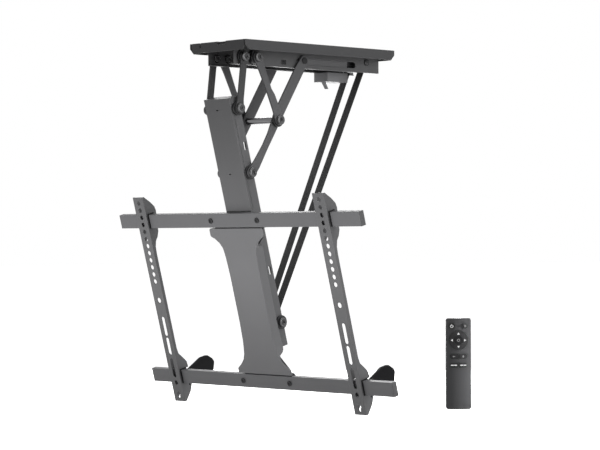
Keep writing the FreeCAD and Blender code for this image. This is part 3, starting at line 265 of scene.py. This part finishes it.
# Rail bolts, cover screws and slide pins. Small steel heads, blackened and left dry. They hold the
# rails and the cover on the column, and the pins carry the rollers of the long arms.
black_heads = finish("blackened_heads", (0.014, 0.014, 0.015), 0.45, metallic=0.3, grain=0.0005,
                     depth=0.000012, specular=0.3)
rounded(black_heads, 0.0004, "rail_bolts", "slide_pins")
dress(black_heads, "cover_screws")

# Bushes and rollers. Moulded black nylon, a little waxy, pressed into the bores and onto the pins
# so that no steel turns on steel.
nylon = finish("black_nylon", (0.010, 0.010, 0.011), 0.42, grain=0.0012, depth=0.00002,
               specular=0.35)
rounded(nylon, 0.0006, "channel_pivot_bushes", "column_bushes", "top_pivot_bushes", "knee_bushes")
dress(nylon, "slide_rollers", "drum_shaft_bushes")

# Cross shaft of the knee. A ground steel bar, dull zinc plated, that runs through the arms on both
# sides and is held by headed ends.
shaft_zinc = finish("shaft_zinc", (0.17, 0.17, 0.175), 0.20, metallic=1.0, grain=0.0004,
                    depth=0.00001)
dress(shaft_zinc, "knee_shaft")

# Column and rails. The column is a folded steel channel and the rails are rectangular tube, coated
# like the arms; the rails are bolted across the column's front.
# The column's and the rails' edges get a painted highlight.
column_coat = finish("column_powder_coat", (0.090, 0.090, 0.093), 0.46, edge_highlight=0.5, specular=0.3,
                     pale=2.8)
rounded(column_coat, 0.0006, "column")
rail_coat = finish("rail_powder_coat", (0.098, 0.098, 0.102), 0.46, edge_highlight=0.3, specular=0.3)
rounded(rail_coat, 0.0009, "top_rail", "bottom_rail")

# Column cover. A pressed steel tray between the rails, screwed to the column; its coat is a little
# smoother and paler than theirs.
# Its edges get a painted highlight.
cover_coat = finish("cover_powder_coat", (0.119, 0.119, 0.123), 0.42, grain=0.0008,
                    depth=0.000022, edge_highlight=0.3, specular=0.3)
rounded(cover_coat, 0.0008, "column_cover")

# Rail end caps. Moulded black polyethylene with a matt skin; each is pushed into the open end of a
# rail as far as its rim.
# Their edges get a painted highlight.
matt_plastic = finish("matt_black_plastic", (0.070, 0.070, 0.072), 0.55, grain=0.0007, edge_highlight=0.3,
                      specular=0.35)
rounded(matt_plastic, 0.0006, "rail_end_caps")

# Screen brackets. Folded steel sheet with rows of punched holes and slots, coated after punching;
# they hang over both rails and are bolted to the back of the screen.
# Their edges get a painted highlight.
bracket_coat = finish("bracket_powder_coat", (0.095, 0.095, 0.098), 0.46, edge_highlight=0.35, specular=0.3)
rounded(bracket_coat, 0.0004, "bracket_left", "bracket_right")

# Slide liners. Near-black strips over the brackets' right flanges, put there as painted shade for
# the dark gap between each flange and its rail: each goes down the front of a rail, over its top
# and down its back.
top_rail_edge = np.array((0.0, -0.1807687, -0.3554984))
tilt = math.radians(15.0)
into_depth = np.array((0.0, math.cos(tilt), math.sin(tilt)))
up_column = np.array((0.0, -math.sin(tilt), math.cos(tilt)))
rail_height = 0.030
rail_depth = 0.0125
rail_gap = 0.3517
left_bracket_x = -0.287
right_bracket_x = 0.2697
bracket_half_width = 0.0165
liner_inner = 0.00015
liner_outer = 0.0024
liner_width = 0.0018
liner_hook = 0.009
liner_painted_shade = finish("liner_painted_shade", (0.006, 0.006, 0.0065), 0.5, depth=0.00001, specular=0.2)


def slab(name, ribbons, shift, material):
    """A closed slab. Each ribbon is a pair of edge lines with a surface between them; the same
    surface moved by shift is its other side, and strips join their rims, also at the ends unless
    the lines run full circle."""
    corners, faces = [], []
    for first, second in ribbons:
        sheet = np.stack([np.asarray(first, float), np.asarray(second, float)])
        count = sheet.shape[1]
        at = np.arange(4 * count).reshape(4, count) + len(corners)
        ring = np.roll(at, -1, 0)
        quads = np.stack([at[:, :-1], ring[:, :-1], ring[:, 1:], at[:, 1:]], -1).reshape(-1, 4)
        faces += quads.tolist()
        if not np.allclose(sheet[:, 0], sheet[:, -1]):
            faces += [at[::-1, 0].tolist(), at[:, -1].tolist()]
        corners += np.concatenate([sheet, sheet[::-1] + shift]).reshape(-1, 3).tolist()
    mesh = bpy.data.meshes.new(name)
    mesh.from_pydata(corners, [], faces)
    work = bmesh.new()
    work.from_mesh(mesh)
    bmesh.ops.remove_doubles(work, verts=work.verts, dist=merge_distance)
    bmesh.ops.recalc_face_normals(work, faces=work.faces)
    work.to_mesh(mesh)
    work.free()
    mesh.materials.append(material)
    made = bpy.data.objects.new(name, mesh)
    bpy.context.scene.collection.objects.link(made)
    return made


for side, bracket_x in (("left", left_bracket_x), ("right", right_bracket_x)):
    for place, rail_top in (("top", 0.0), ("bottom", -rail_gap)):
        edges = []
        for out in (liner_inner, liner_outer):
            run = np.array(((-out, rail_top - rail_height), (-out, rail_top + out),
                            (rail_depth + out, rail_top + out),
                            (rail_depth + out, rail_top - liner_hook)))
            edges.append(top_rail_edge + run[:, :1] * into_depth + run[:, 1:] * up_column
                         + (bracket_x + bracket_half_width, 0.0, 0.0))
        liner = slab(f"gap_shade_liner_{side}_{place}", [edges], (liner_width, 0.0, 0.0), liner_painted_shade)
        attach(liner, f"bracket_{side}")

# Lock levers. Glass filled nylon with a dull sheen, darker than the steel; each turns on a stub
# axle at the foot of its bracket and locks it to the bottom rail.
# Their edges are painted much paler, a painted highlight.
lever_plastic = finish("lever_plastic", (0.009, 0.009, 0.010), 0.50, grain=0.0011, edge_highlight=0.6,
                       specular=0.06, pale=7.0)
rounded(lever_plastic, 0.0020, "lock_lever_left", "lock_lever_right")

# Lift drums and gears. Turned steel drums and cut gears, dull zinc plated, on a shaft across the
# back of the channel, where they wind the straps.
dull_zinc = finish("dull_zinc", (0.34, 0.345, 0.35), 0.38, metallic=1.0, grain=0.0005,
                   depth=0.00001)
dress(dull_zinc, "lift_drums", "drum_gear", "motor_pinion")

# Gear motor. A die cast gearbox and a motor in a blackened steel can, fixed inside the channel in
# front of the drums.
motor_steel = finish("motor_steel", (0.055, 0.055, 0.058), 0.36, metallic=0.6, grain=0.0006,
                     depth=0.00001)
dress(motor_steel, "lift_motor", "gearbox_case")

# Control box. A moulded black casing that hangs under the channel, with the circuit board inside;
# it takes the power lead and hears the remote.
# Its edges get a painted highlight.
box_plastic = finish("box_plastic", (0.175, 0.175, 0.180), 0.5, grain=0.0007, edge_highlight=0.4,
                     specular=0.35)
rounded(box_plastic, 0.0007, "control_box")
board_green = finish("circuit_board", (0.02, 0.10, 0.045), 0.35, grain=0.0007, depth=0.00002)
dress(board_green, "control_board", "remote_board")

# Lift straps. Woven polyester webbing. Each is wound on its own drum, runs down to the column's
# foot, and is looped round the strap pin there and sewn.
drum_axis = Vector((0.0, 0.1795, -0.0253))
strap_top = Vector((0.0, 0.1888561, -0.0298413))
strap_foot = Vector((0.0, -0.0795058, -0.5827325))
strap_width = 0.0205
strap_half_thickness = 0.00075
layer = 0.0008
selvedge = 0.0016
middle_share = 0.80
side_power = 0.35
face_power = 0.45
section_points = 28
drum_spacing = 0.043
foot_spacing = 0.025
pin_radius = 0.005
pin_gap = 0.00005
warp = 0.0014
weft = 0.0011
weave_depth = 0.0003
weave_strength = 0.9
hollow_painted_shade = (0.45, 0.45, 0.46, 1.0)
weave_roughness = 0.82
weave_sheen = 0.08


def webbing(name, colour):
    """Woven webbing on the strap's own UV map, in metres: ribs of the width warp run along it, and
    each rib's stitches of the length weft are set back by half a stitch from its neighbour's. The
    height is the ribs' sine times the stitches' sine, and the hollows are multiplied darker, a
    painted shade."""
    made = finish(name, colour, weave_roughness, grain=0.0004, depth=0.00002)
    nodes, links = made.node_tree.nodes, made.node_tree.links
    shader = nodes["Principled BSDF"]
    shader.inputs["Sheen Weight"].default_value = weave_sheen
    shader.inputs["Sheen Roughness"].default_value = 0.5
    uv = nodes.new("ShaderNodeUVMap")
    uv.uv_map = "weave"
    parts = nodes.new("ShaderNodeSeparateXYZ")
    links.new(uv.outputs["UV"], parts.inputs["Vector"])

    def reckon(operation, *values):
        """The result of one sum on numbers or on the results of other sums."""
        step = nodes.new("ShaderNodeMath")
        step.operation = operation
        for socket, value in zip(step.inputs, values):
            if isinstance(value, float):
                socket.default_value = value
            else:
                links.new(value, socket)
        return step.outputs["Value"]

    ribs = reckon("MULTIPLY", parts.outputs["X"], math.pi / warp)
    rib_height = reckon("ABSOLUTE", reckon("SINE", ribs))
    rib_number = reckon("FLOOR", reckon("DIVIDE", parts.outputs["X"], warp))
    shift = reckon("MULTIPLY", rib_number, math.pi / 2)
    stitches = reckon("ADD", reckon("MULTIPLY", parts.outputs["Y"], math.pi / weft), shift)
    stitch_height = reckon("ABSOLUTE", reckon("SINE", stitches))
    height = reckon("MULTIPLY", rib_height, stitch_height)
    weave = nodes.new("ShaderNodeBump")
    weave.inputs["Strength"].default_value = weave_strength
    weave.inputs["Distance"].default_value = weave_depth
    links.new(height, weave.inputs["Height"])
    links.new(weave.outputs["Normal"], nodes["Bump"].inputs["Normal"])
    dark = nodes.new("ShaderNodeMix")
    dark.data_type = "RGBA"
    dark.blend_type = "MULTIPLY"
    dark.inputs[7].default_value = hollow_painted_shade
    links.new(shader.inputs["Base Color"].links[0].from_socket, dark.inputs[6])
    links.new(reckon("SUBTRACT", 1.0, height), dark.inputs["Factor"])
    links.new(dark.outputs[2], shader.inputs["Base Color"])
    return made


def band(name, centre, width):
    """A woven band, carried along the points of centre, with its thickness along the path's own
    normal. Its section is a flat oval, width across X: the cosine of the turn to the power
    side_power goes across, and the sine to the power face_power goes through, times half the
    thickness, of which the middle has middle_share and the selvedges swell to the whole."""
    along = np.gradient(centre, axis=0)
    along /= np.linalg.norm(along, axis=1, keepdims=True)
    side = np.array((1.0, 0.0, 0.0))
    through = np.cross(side, along)
    turns = np.linspace(0.0, 2 * np.pi, section_points, endpoint=False)
    across = np.sign(np.cos(turns)) * np.abs(np.cos(turns)) ** side_power * width / 2
    near_edge = np.clip(1.0 - (width / 2 - np.abs(across)) / selvedge, 0.0, 1.0)
    swell = middle_share + (1.0 - middle_share) * np.sin(np.pi * near_edge)
    lift = np.sign(np.sin(turns)) * np.abs(np.sin(turns)) ** face_power * swell
    lift = (lift * strap_half_thickness)[None, :, None]
    points = centre[:, None] + across[None, :, None] * side + lift * through[:, None]
    index = np.arange(len(centre) * section_points).reshape(-1, section_points)
    beside = np.roll(index, -1, 1)
    quads = np.stack([index[1:], beside[1:], beside[:-1], index[:-1]], -1)
    faces = quads.reshape(-1, 4).tolist() + [index[0].tolist(), index[-1, ::-1].tolist()]
    mesh = bpy.data.meshes.new(name)
    mesh.from_pydata(points.reshape(-1, 3).tolist(), [], faces)
    length = np.concatenate([[0.0], np.cumsum(np.linalg.norm(np.diff(centre, axis=0), axis=1))])
    uv = np.stack(np.broadcast_arrays(across[None, :], length[:, None]), -1).reshape(-1, 2)
    corners = np.zeros(len(mesh.loops), int)
    mesh.loops.foreach_get("vertex_index", corners)
    mesh.uv_layers.new(name="weave").data.foreach_set("uv", uv[corners].ravel())
    mesh.shade_smooth()
    mesh.materials.append(strap_weave)
    made = bpy.data.objects.new(name, mesh)
    bpy.context.scene.collection.objects.link(made)
    return made


strap_weave = webbing("strap_webbing", (0.030, 0.030, 0.031))
run = np.array(strap_foot - strap_top)
direction = run / np.linalg.norm(run)
inward = np.array((0.0, direction[2], -direction[1]))
strap_points = 90
steps = np.linspace(0.0, 1.0, strap_points)[:, None]

# The sewn eye, in lengths up the strap and away from it: down one leg, round the pin, and back.
loop_radius = pin_radius + strap_half_thickness + pin_gap
loop_reach = 0.014
eye_width = strap_width + 0.0002
eye_points = 40
sewn_overlap = 0.002
leg_angle = math.acos((loop_radius - layer) / loop_reach)
leg_steps = steps[::strap_points // 5]
leg = np.hstack([loop_reach * (1 - leg_steps) + loop_radius * math.cos(leg_angle) * leg_steps,
                 layer * (1 - leg_steps) + loop_radius * math.sin(leg_angle) * leg_steps])
around = np.linspace(leg_angle, 2 * math.pi - leg_angle, eye_points)[1:-1]
loop = np.concatenate([leg, loop_radius * np.stack([np.cos(around), np.sin(around)], -1),
                       (leg * (1.0, -1.0))[::-1]])

# The last layer on the drum, which winds inward by one layer in not quite a turn.
wound_outer = 0.0096
wound_points = 70
wound = np.linspace(0.0, math.radians(330.0), wound_points)
wound_radius = wound_outer - layer * wound / wound[-1]
lean = math.atan2(strap_top.z - drum_axis.z, strap_top.y - drum_axis.y)

for label, sign in (("left", -1), ("right", 1)):
    top_side = np.array((sign * drum_spacing / 2, 0.0, 0.0))
    foot_side = np.array((sign * foot_spacing / 2, 0.0, 0.0))
    start = np.array(strap_top) + top_side + inward * layer
    end = np.array(strap_foot) + foot_side - direction * (loop_reach - sewn_overlap)
    strap = band(f"strap_{label}", start * (1 - steps) + end * steps, strap_width)
    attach(strap, "straps")
    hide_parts("lift_straps")
    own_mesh(strap)
    eye = np.array(strap_foot) + foot_side - loop[:, :1] * direction + loop[:, 1:] * inward
    strap_eye = band(f"strap_eye_{label}", eye, eye_width)
    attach(strap_eye, "column")
    layers = np.stack([np.zeros_like(wound), np.cos(lean + wound), np.sin(lean + wound)], -1)
    roll_line = np.array(drum_axis) + top_side + wound_radius[:, None] * layers
    strap_roll = band(f"strap_roll_{label}", roll_line, strap_width)
    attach(strap_roll, "drum")
    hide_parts("strap_rolls")

# Remote control. A front shell moulded with a gentle crown, a flatter back shell with the battery
# door, and an infrared window in the top end.
remote_place = Vector((0.4345, 0.035, -0.6598))
remote_turn = Matrix.Rotation(math.radians(46.0), 4, "Z")
remote_frame = Matrix.Translation(remote_place) @ remote_turn
remote_half_width = 0.02525
crown_fall = 0.0032
crown_depth = 0.0035
crown_cuts = np.linspace(-0.9, 0.9, 13) * remote_half_width
cut_tolerance = 0.000001


def crowned(material, *names):
    """Stands a crowned copy in each node's place: cut into upright strips, each point is moved back
    from the front by crown_fall times the square of its share of the half width, and less the
    deeper it lies, down to nothing at crown_depth. Edges over sharp_angle stay crisp."""
    to_remote = remote_frame.inverted()
    for name in names:
        mesh = merged(material, name).data
        mesh.transform(to_remote)
        work = bmesh.new()
        work.from_mesh(mesh)
        bmesh.ops.triangulate(work, faces=work.faces)
        for cut in crown_cuts:
            whole = [*work.verts, *work.edges, *work.faces]
            bmesh.ops.bisect_plane(work, geom=whole, dist=cut_tolerance,
                                   plane_co=(cut, 0.0, 0.0), plane_no=(1.0, 0.0, 0.0))
        work.to_mesh(mesh)
        work.free()
        points = np.zeros(len(mesh.vertices) * 3)
        mesh.vertices.foreach_get("co", points)
        points = points.reshape(-1, 3)
        depth = np.clip(1.0 - points[:, 1] / crown_depth, 0.0, 1.0)
        points[:, 1] += crown_fall * (points[:, 0] / remote_half_width) ** 2 * depth
        mesh.vertices.foreach_set("co", points.ravel())
        mesh.transform(remote_frame)
        mesh.set_sharp_from_angle(angle=sharp_angle)


remote_plastic = finish("remote_plastic", (0.040, 0.040, 0.0415), 0.33, grain=0.0005,
                        depth=0.000015, specular=0.12)
crowned(remote_plastic, "remote_front_shell")
rounded(remote_plastic, 0.0008, "remote_back_shell", "battery_door")
window_plastic = finish("window_plastic", (0.03, 0.006, 0.008), 0.12, grain=0.002,
                        depth=0.000005)
dress(window_plastic, "infrared_window")
battery_wrap = finish("battery_wrap", (0.25, 0.26, 0.28), 0.3, metallic=0.6, grain=0.001,
                      depth=0.00001)
dress(battery_wrap, "remote_batteries")

# Keys. Silicone rubber caps in one mat under the shell, darker and duller than it; the key in the
# middle of the ring is the darkest.
outer_keys = ("power_key", "menu_key", "direction_ring", "back_key", "home_key", "preset_key",
              "start_key")
key_rubber = finish("key_rubber", (0.018, 0.018, 0.0185), 0.5, grain=0.0006, depth=0.00001,
                    specular=0.12)
crowned(key_rubber, *outer_keys)
dark_rubber = finish("dark_rubber", (0.007, 0.007, 0.0075), 0.5, grain=0.0006, depth=0.00001,
                     specular=0.12)
crowned(dark_rubber, "ok_key")

# Key marks. Plain signs printed in thick white or grey ink on the keys: a power sign, three lines,
# four arrow heads, a ring, a back arrow, a house and two pairs of bars. Their places and sizes are
# in millimetres, across and up from the remote's middle.
white_ink = finish("white_ink", (0.80, 0.80, 0.80), 0.6, grain=0.0003, depth=0.000005)
grey_ink = finish("grey_ink", (0.30, 0.30, 0.30), 0.6, grain=0.0003, depth=0.000005)
key_front = -0.0012
ink_height = 0.00006
ink_root = 0.0004
bar_points = 9
arc_points = 25
head_back = 0.4
head_front = 0.5
head_half_base = 0.55
top_key_x = 13.5
ring_z = 47.0
ring_arrows = 13.2
small_key_z = 14.5
long_key_z = -3.0


def print_mark(name, key, material, *ribbons):
    """A printed mark. Each ribbon is a pair of edge lines with the surface between them, which
    follows the crown of the key, ink_height in front of it, and is rooted ink_root deep."""
    placed = []
    for edges in ribbons:
        flat = np.asarray(edges) / 1000
        front = key_front + crown_fall * (flat[..., 0] / remote_half_width) ** 2 - ink_height
        placed.append(np.stack([flat[..., 0], front, flat[..., 1]], -1))
    made = slab(name, placed, (0.0, ink_root, 0.0), material)
    made.data.transform(remote_frame)
    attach(made, key)


def bar(x, z, width, height):
    """The upper and the lower edge of an upright bar with its middle at x, z."""
    across = np.linspace(-width / 2, width / 2, bar_points) + x
    return [np.stack([across, np.full(bar_points, z + side * height / 2)], -1) for side in (1, -1)]


def arc(x, z, outer, inner, start, end):
    """The outer and the inner edge of an arc round x, z, from start to end in degrees from +X."""
    angle = np.radians(np.linspace(start, end, arc_points))
    line = np.stack([np.cos(angle), np.sin(angle)], -1)
    return [line * radius + (x, z) for radius in (outer, inner)]


def arrow_head(x, z, size, heading):
    """A triangle whose point looks along heading, in degrees from +X: its base line, and its point
    as a line without length."""
    ahead = np.array((math.cos(math.radians(heading)), math.sin(math.radians(heading))))
    aside = np.array((-ahead[1], ahead[0])) * size * head_half_base
    base_middle = (x, z) - ahead * size * head_back
    point = (x, z) + ahead * size * head_front
    return [np.array([base_middle + aside, base_middle, base_middle - aside]),
            np.array([point, point, point])]


print_mark("power_mark", "key_power", white_ink, arc(-top_key_x, 75.2, 3.1, 2.2, 125, 415),
           bar(-top_key_x, 77.4, 0.9, 3.4))
print_mark("menu_mark", "key_menu", grey_ink, bar(top_key_x, 77.2, 4.4, 0.9),
           bar(top_key_x, 75.5, 4.4, 0.9), bar(top_key_x, 73.8, 4.4, 0.9))
print_mark("arrow_marks", "key_direction_ring", white_ink,
           arrow_head(ring_arrows, ring_z, 4.6, 0),
           arrow_head(0.0, ring_z + ring_arrows, 4.6, 90),
           arrow_head(-ring_arrows, ring_z, 4.6, 180),
           arrow_head(0.0, ring_z - ring_arrows, 4.6, 270))
print_mark("centre_mark", "key_ok", grey_ink, arc(0.0, ring_z, 2.9, 1.9, 0, 360))
print_mark("back_mark", "key_back", grey_ink, arrow_head(-10.6, small_key_z, 3.0, 180),
           bar(-8.2, small_key_z, 3.0, 0.8))
print_mark("home_mark", "key_home", grey_ink, arrow_head(9.4, small_key_z + 1.4, 3.6, 90),
           bar(9.4, small_key_z - 1.0, 2.6, 2.2))
print_mark("preset_mark", "key_preset", white_ink, bar(-12.6, long_key_z, 5.6, 2.0),
           bar(-6.0, long_key_z, 5.6, 2.0))
print_mark("start_mark", "key_start", white_ink, bar(6.0, long_key_z, 5.6, 2.0),
           bar(12.6, long_key_z, 5.6, 2.0))

# Floor and world. A pale floor well below the mount, and plain white light from all round; both
# show white to the camera and in reflections without lighting the mount any more.
floor_height = -0.95
floor_reach = 30.0
floor_white = (0.85, 0.85, 0.85, 1.0)
floor_roughness = 0.9
floor_glow = 0.70
world_white = (1.0, 1.0, 1.0, 1.0)
world_level = 0.36


def background_level(tree, plain, shown):
    """A level that is shown for camera, glossy and transmission rays, and plain for the rest."""
    rays = tree.nodes.new("ShaderNodeLightPath")
    seen = rays.outputs["Is Camera Ray"]
    for kind in ("Is Glossy Ray", "Is Transmission Ray"):
        either = tree.nodes.new("ShaderNodeMath")
        either.operation = "MAXIMUM"
        tree.links.new(seen, either.inputs[0])
        tree.links.new(rays.outputs[kind], either.inputs[1])
        seen = either.outputs["Value"]
    level = tree.nodes.new("ShaderNodeMapRange")
    level.inputs["To Min"].default_value = plain
    level.inputs["To Max"].default_value = shown
    tree.links.new(seen, level.inputs["Value"])
    return level.outputs["Result"]


floor_corners = [(x * floor_reach, y * floor_reach, floor_height)
                 for x, y in ((-1, -1), (1, -1), (1, 1), (-1, 1))]
floor_mesh = bpy.data.meshes.new("floor")
floor_mesh.from_pydata(floor_corners, [], [(0, 1, 2, 3)])
floor = bpy.data.objects.new("floor", floor_mesh)
bpy.context.scene.collection.objects.link(floor)
pale = bpy.data.materials.new("pale_floor")
pale.use_nodes = True
nodes, links = pale.node_tree.nodes, pale.node_tree.links
nodes["Principled BSDF"].inputs["Base Color"].default_value = floor_white
nodes["Principled BSDF"].inputs["Roughness"].default_value = floor_roughness
glow = nodes.new("ShaderNodeEmission")
links.new(background_level(pale.node_tree, 0.0, floor_glow), glow.inputs["Strength"])
both = nodes.new("ShaderNodeAddShader")
links.new(nodes["Principled BSDF"].outputs["BSDF"], both.inputs[0])
links.new(glow.outputs["Emission"], both.inputs[1])
links.new(both.outputs["Shader"], nodes["Material Output"].inputs["Surface"])
floor_mesh.materials.append(pale)

world = bpy.data.worlds.new("studio")
bpy.context.scene.world = world
world.use_nodes = True
background = world.node_tree.nodes["Background"]
background.inputs["Color"].default_value = world_white
world.node_tree.links.new(background_level(world.node_tree, world_level, 1.0),
                          background.inputs["Strength"])

# Lamps. Broad ones at the camera's right, above and behind, and a low narrow one in front for the
# light that comes back off a pale floor. A small one beside the remote lights the remote alone.
# Each row is name, place, point aimed at, width, height, watts and spread in degrees.
mount_middle = (0.0, 0.0, -0.4)
for name, place, aim_at, width, height, power, spread in (
    ("side_lamp", (4.43, 0.78, 0.2), mount_middle, 2.6, 2.6, 80.0, 180.0),
    ("top_lamp", (0.9, 0.4, 2.2), mount_middle, 1.6, 1.6, 50.0, 180.0),
    ("back_lamp", (-2.4, 3.2, 0.4), mount_middle, 2.6, 2.6, 130.0, 180.0),
    ("front_lamp", (-0.2, -1.6, -0.86), (0.0, -0.2, -0.51), 1.7, 0.46, 2.55, 24.0),
    ("remote_lamp", (0.790, 0.317, -0.66), (0.4345, 0.035, -0.66), 0.05, 0.22, 0.31, 16.0),
):
    lamp_data = bpy.data.lights.new(name, "AREA")
    lamp_data.shape = "RECTANGLE"
    lamp_data.size = width
    lamp_data.size_y = height
    lamp_data.energy = power
    lamp_data.spread = math.radians(spread)
    lamp = bpy.data.objects.new(name, lamp_data)
    lamp.location = place
    aim = Vector(aim_at) - Vector(place)
    lamp.rotation_mode = "QUATERNION"
    lamp.rotation_quaternion = aim.to_track_quat("-Z", "Y")
    bpy.context.scene.collection.objects.link(lamp)
lit_alone = bpy.data.collections.new("lit_by_remote_lamp")
for name in ("remote_front_shell", "ok_key", *outer_keys):
    lit_alone.objects.link(bpy.data.objects[name + "_rounded"])
bpy.data.objects["remote_lamp"].light_linking.receiver_collection = lit_alone

bpy.context.scene.view_settings.view_transform = "Standard"
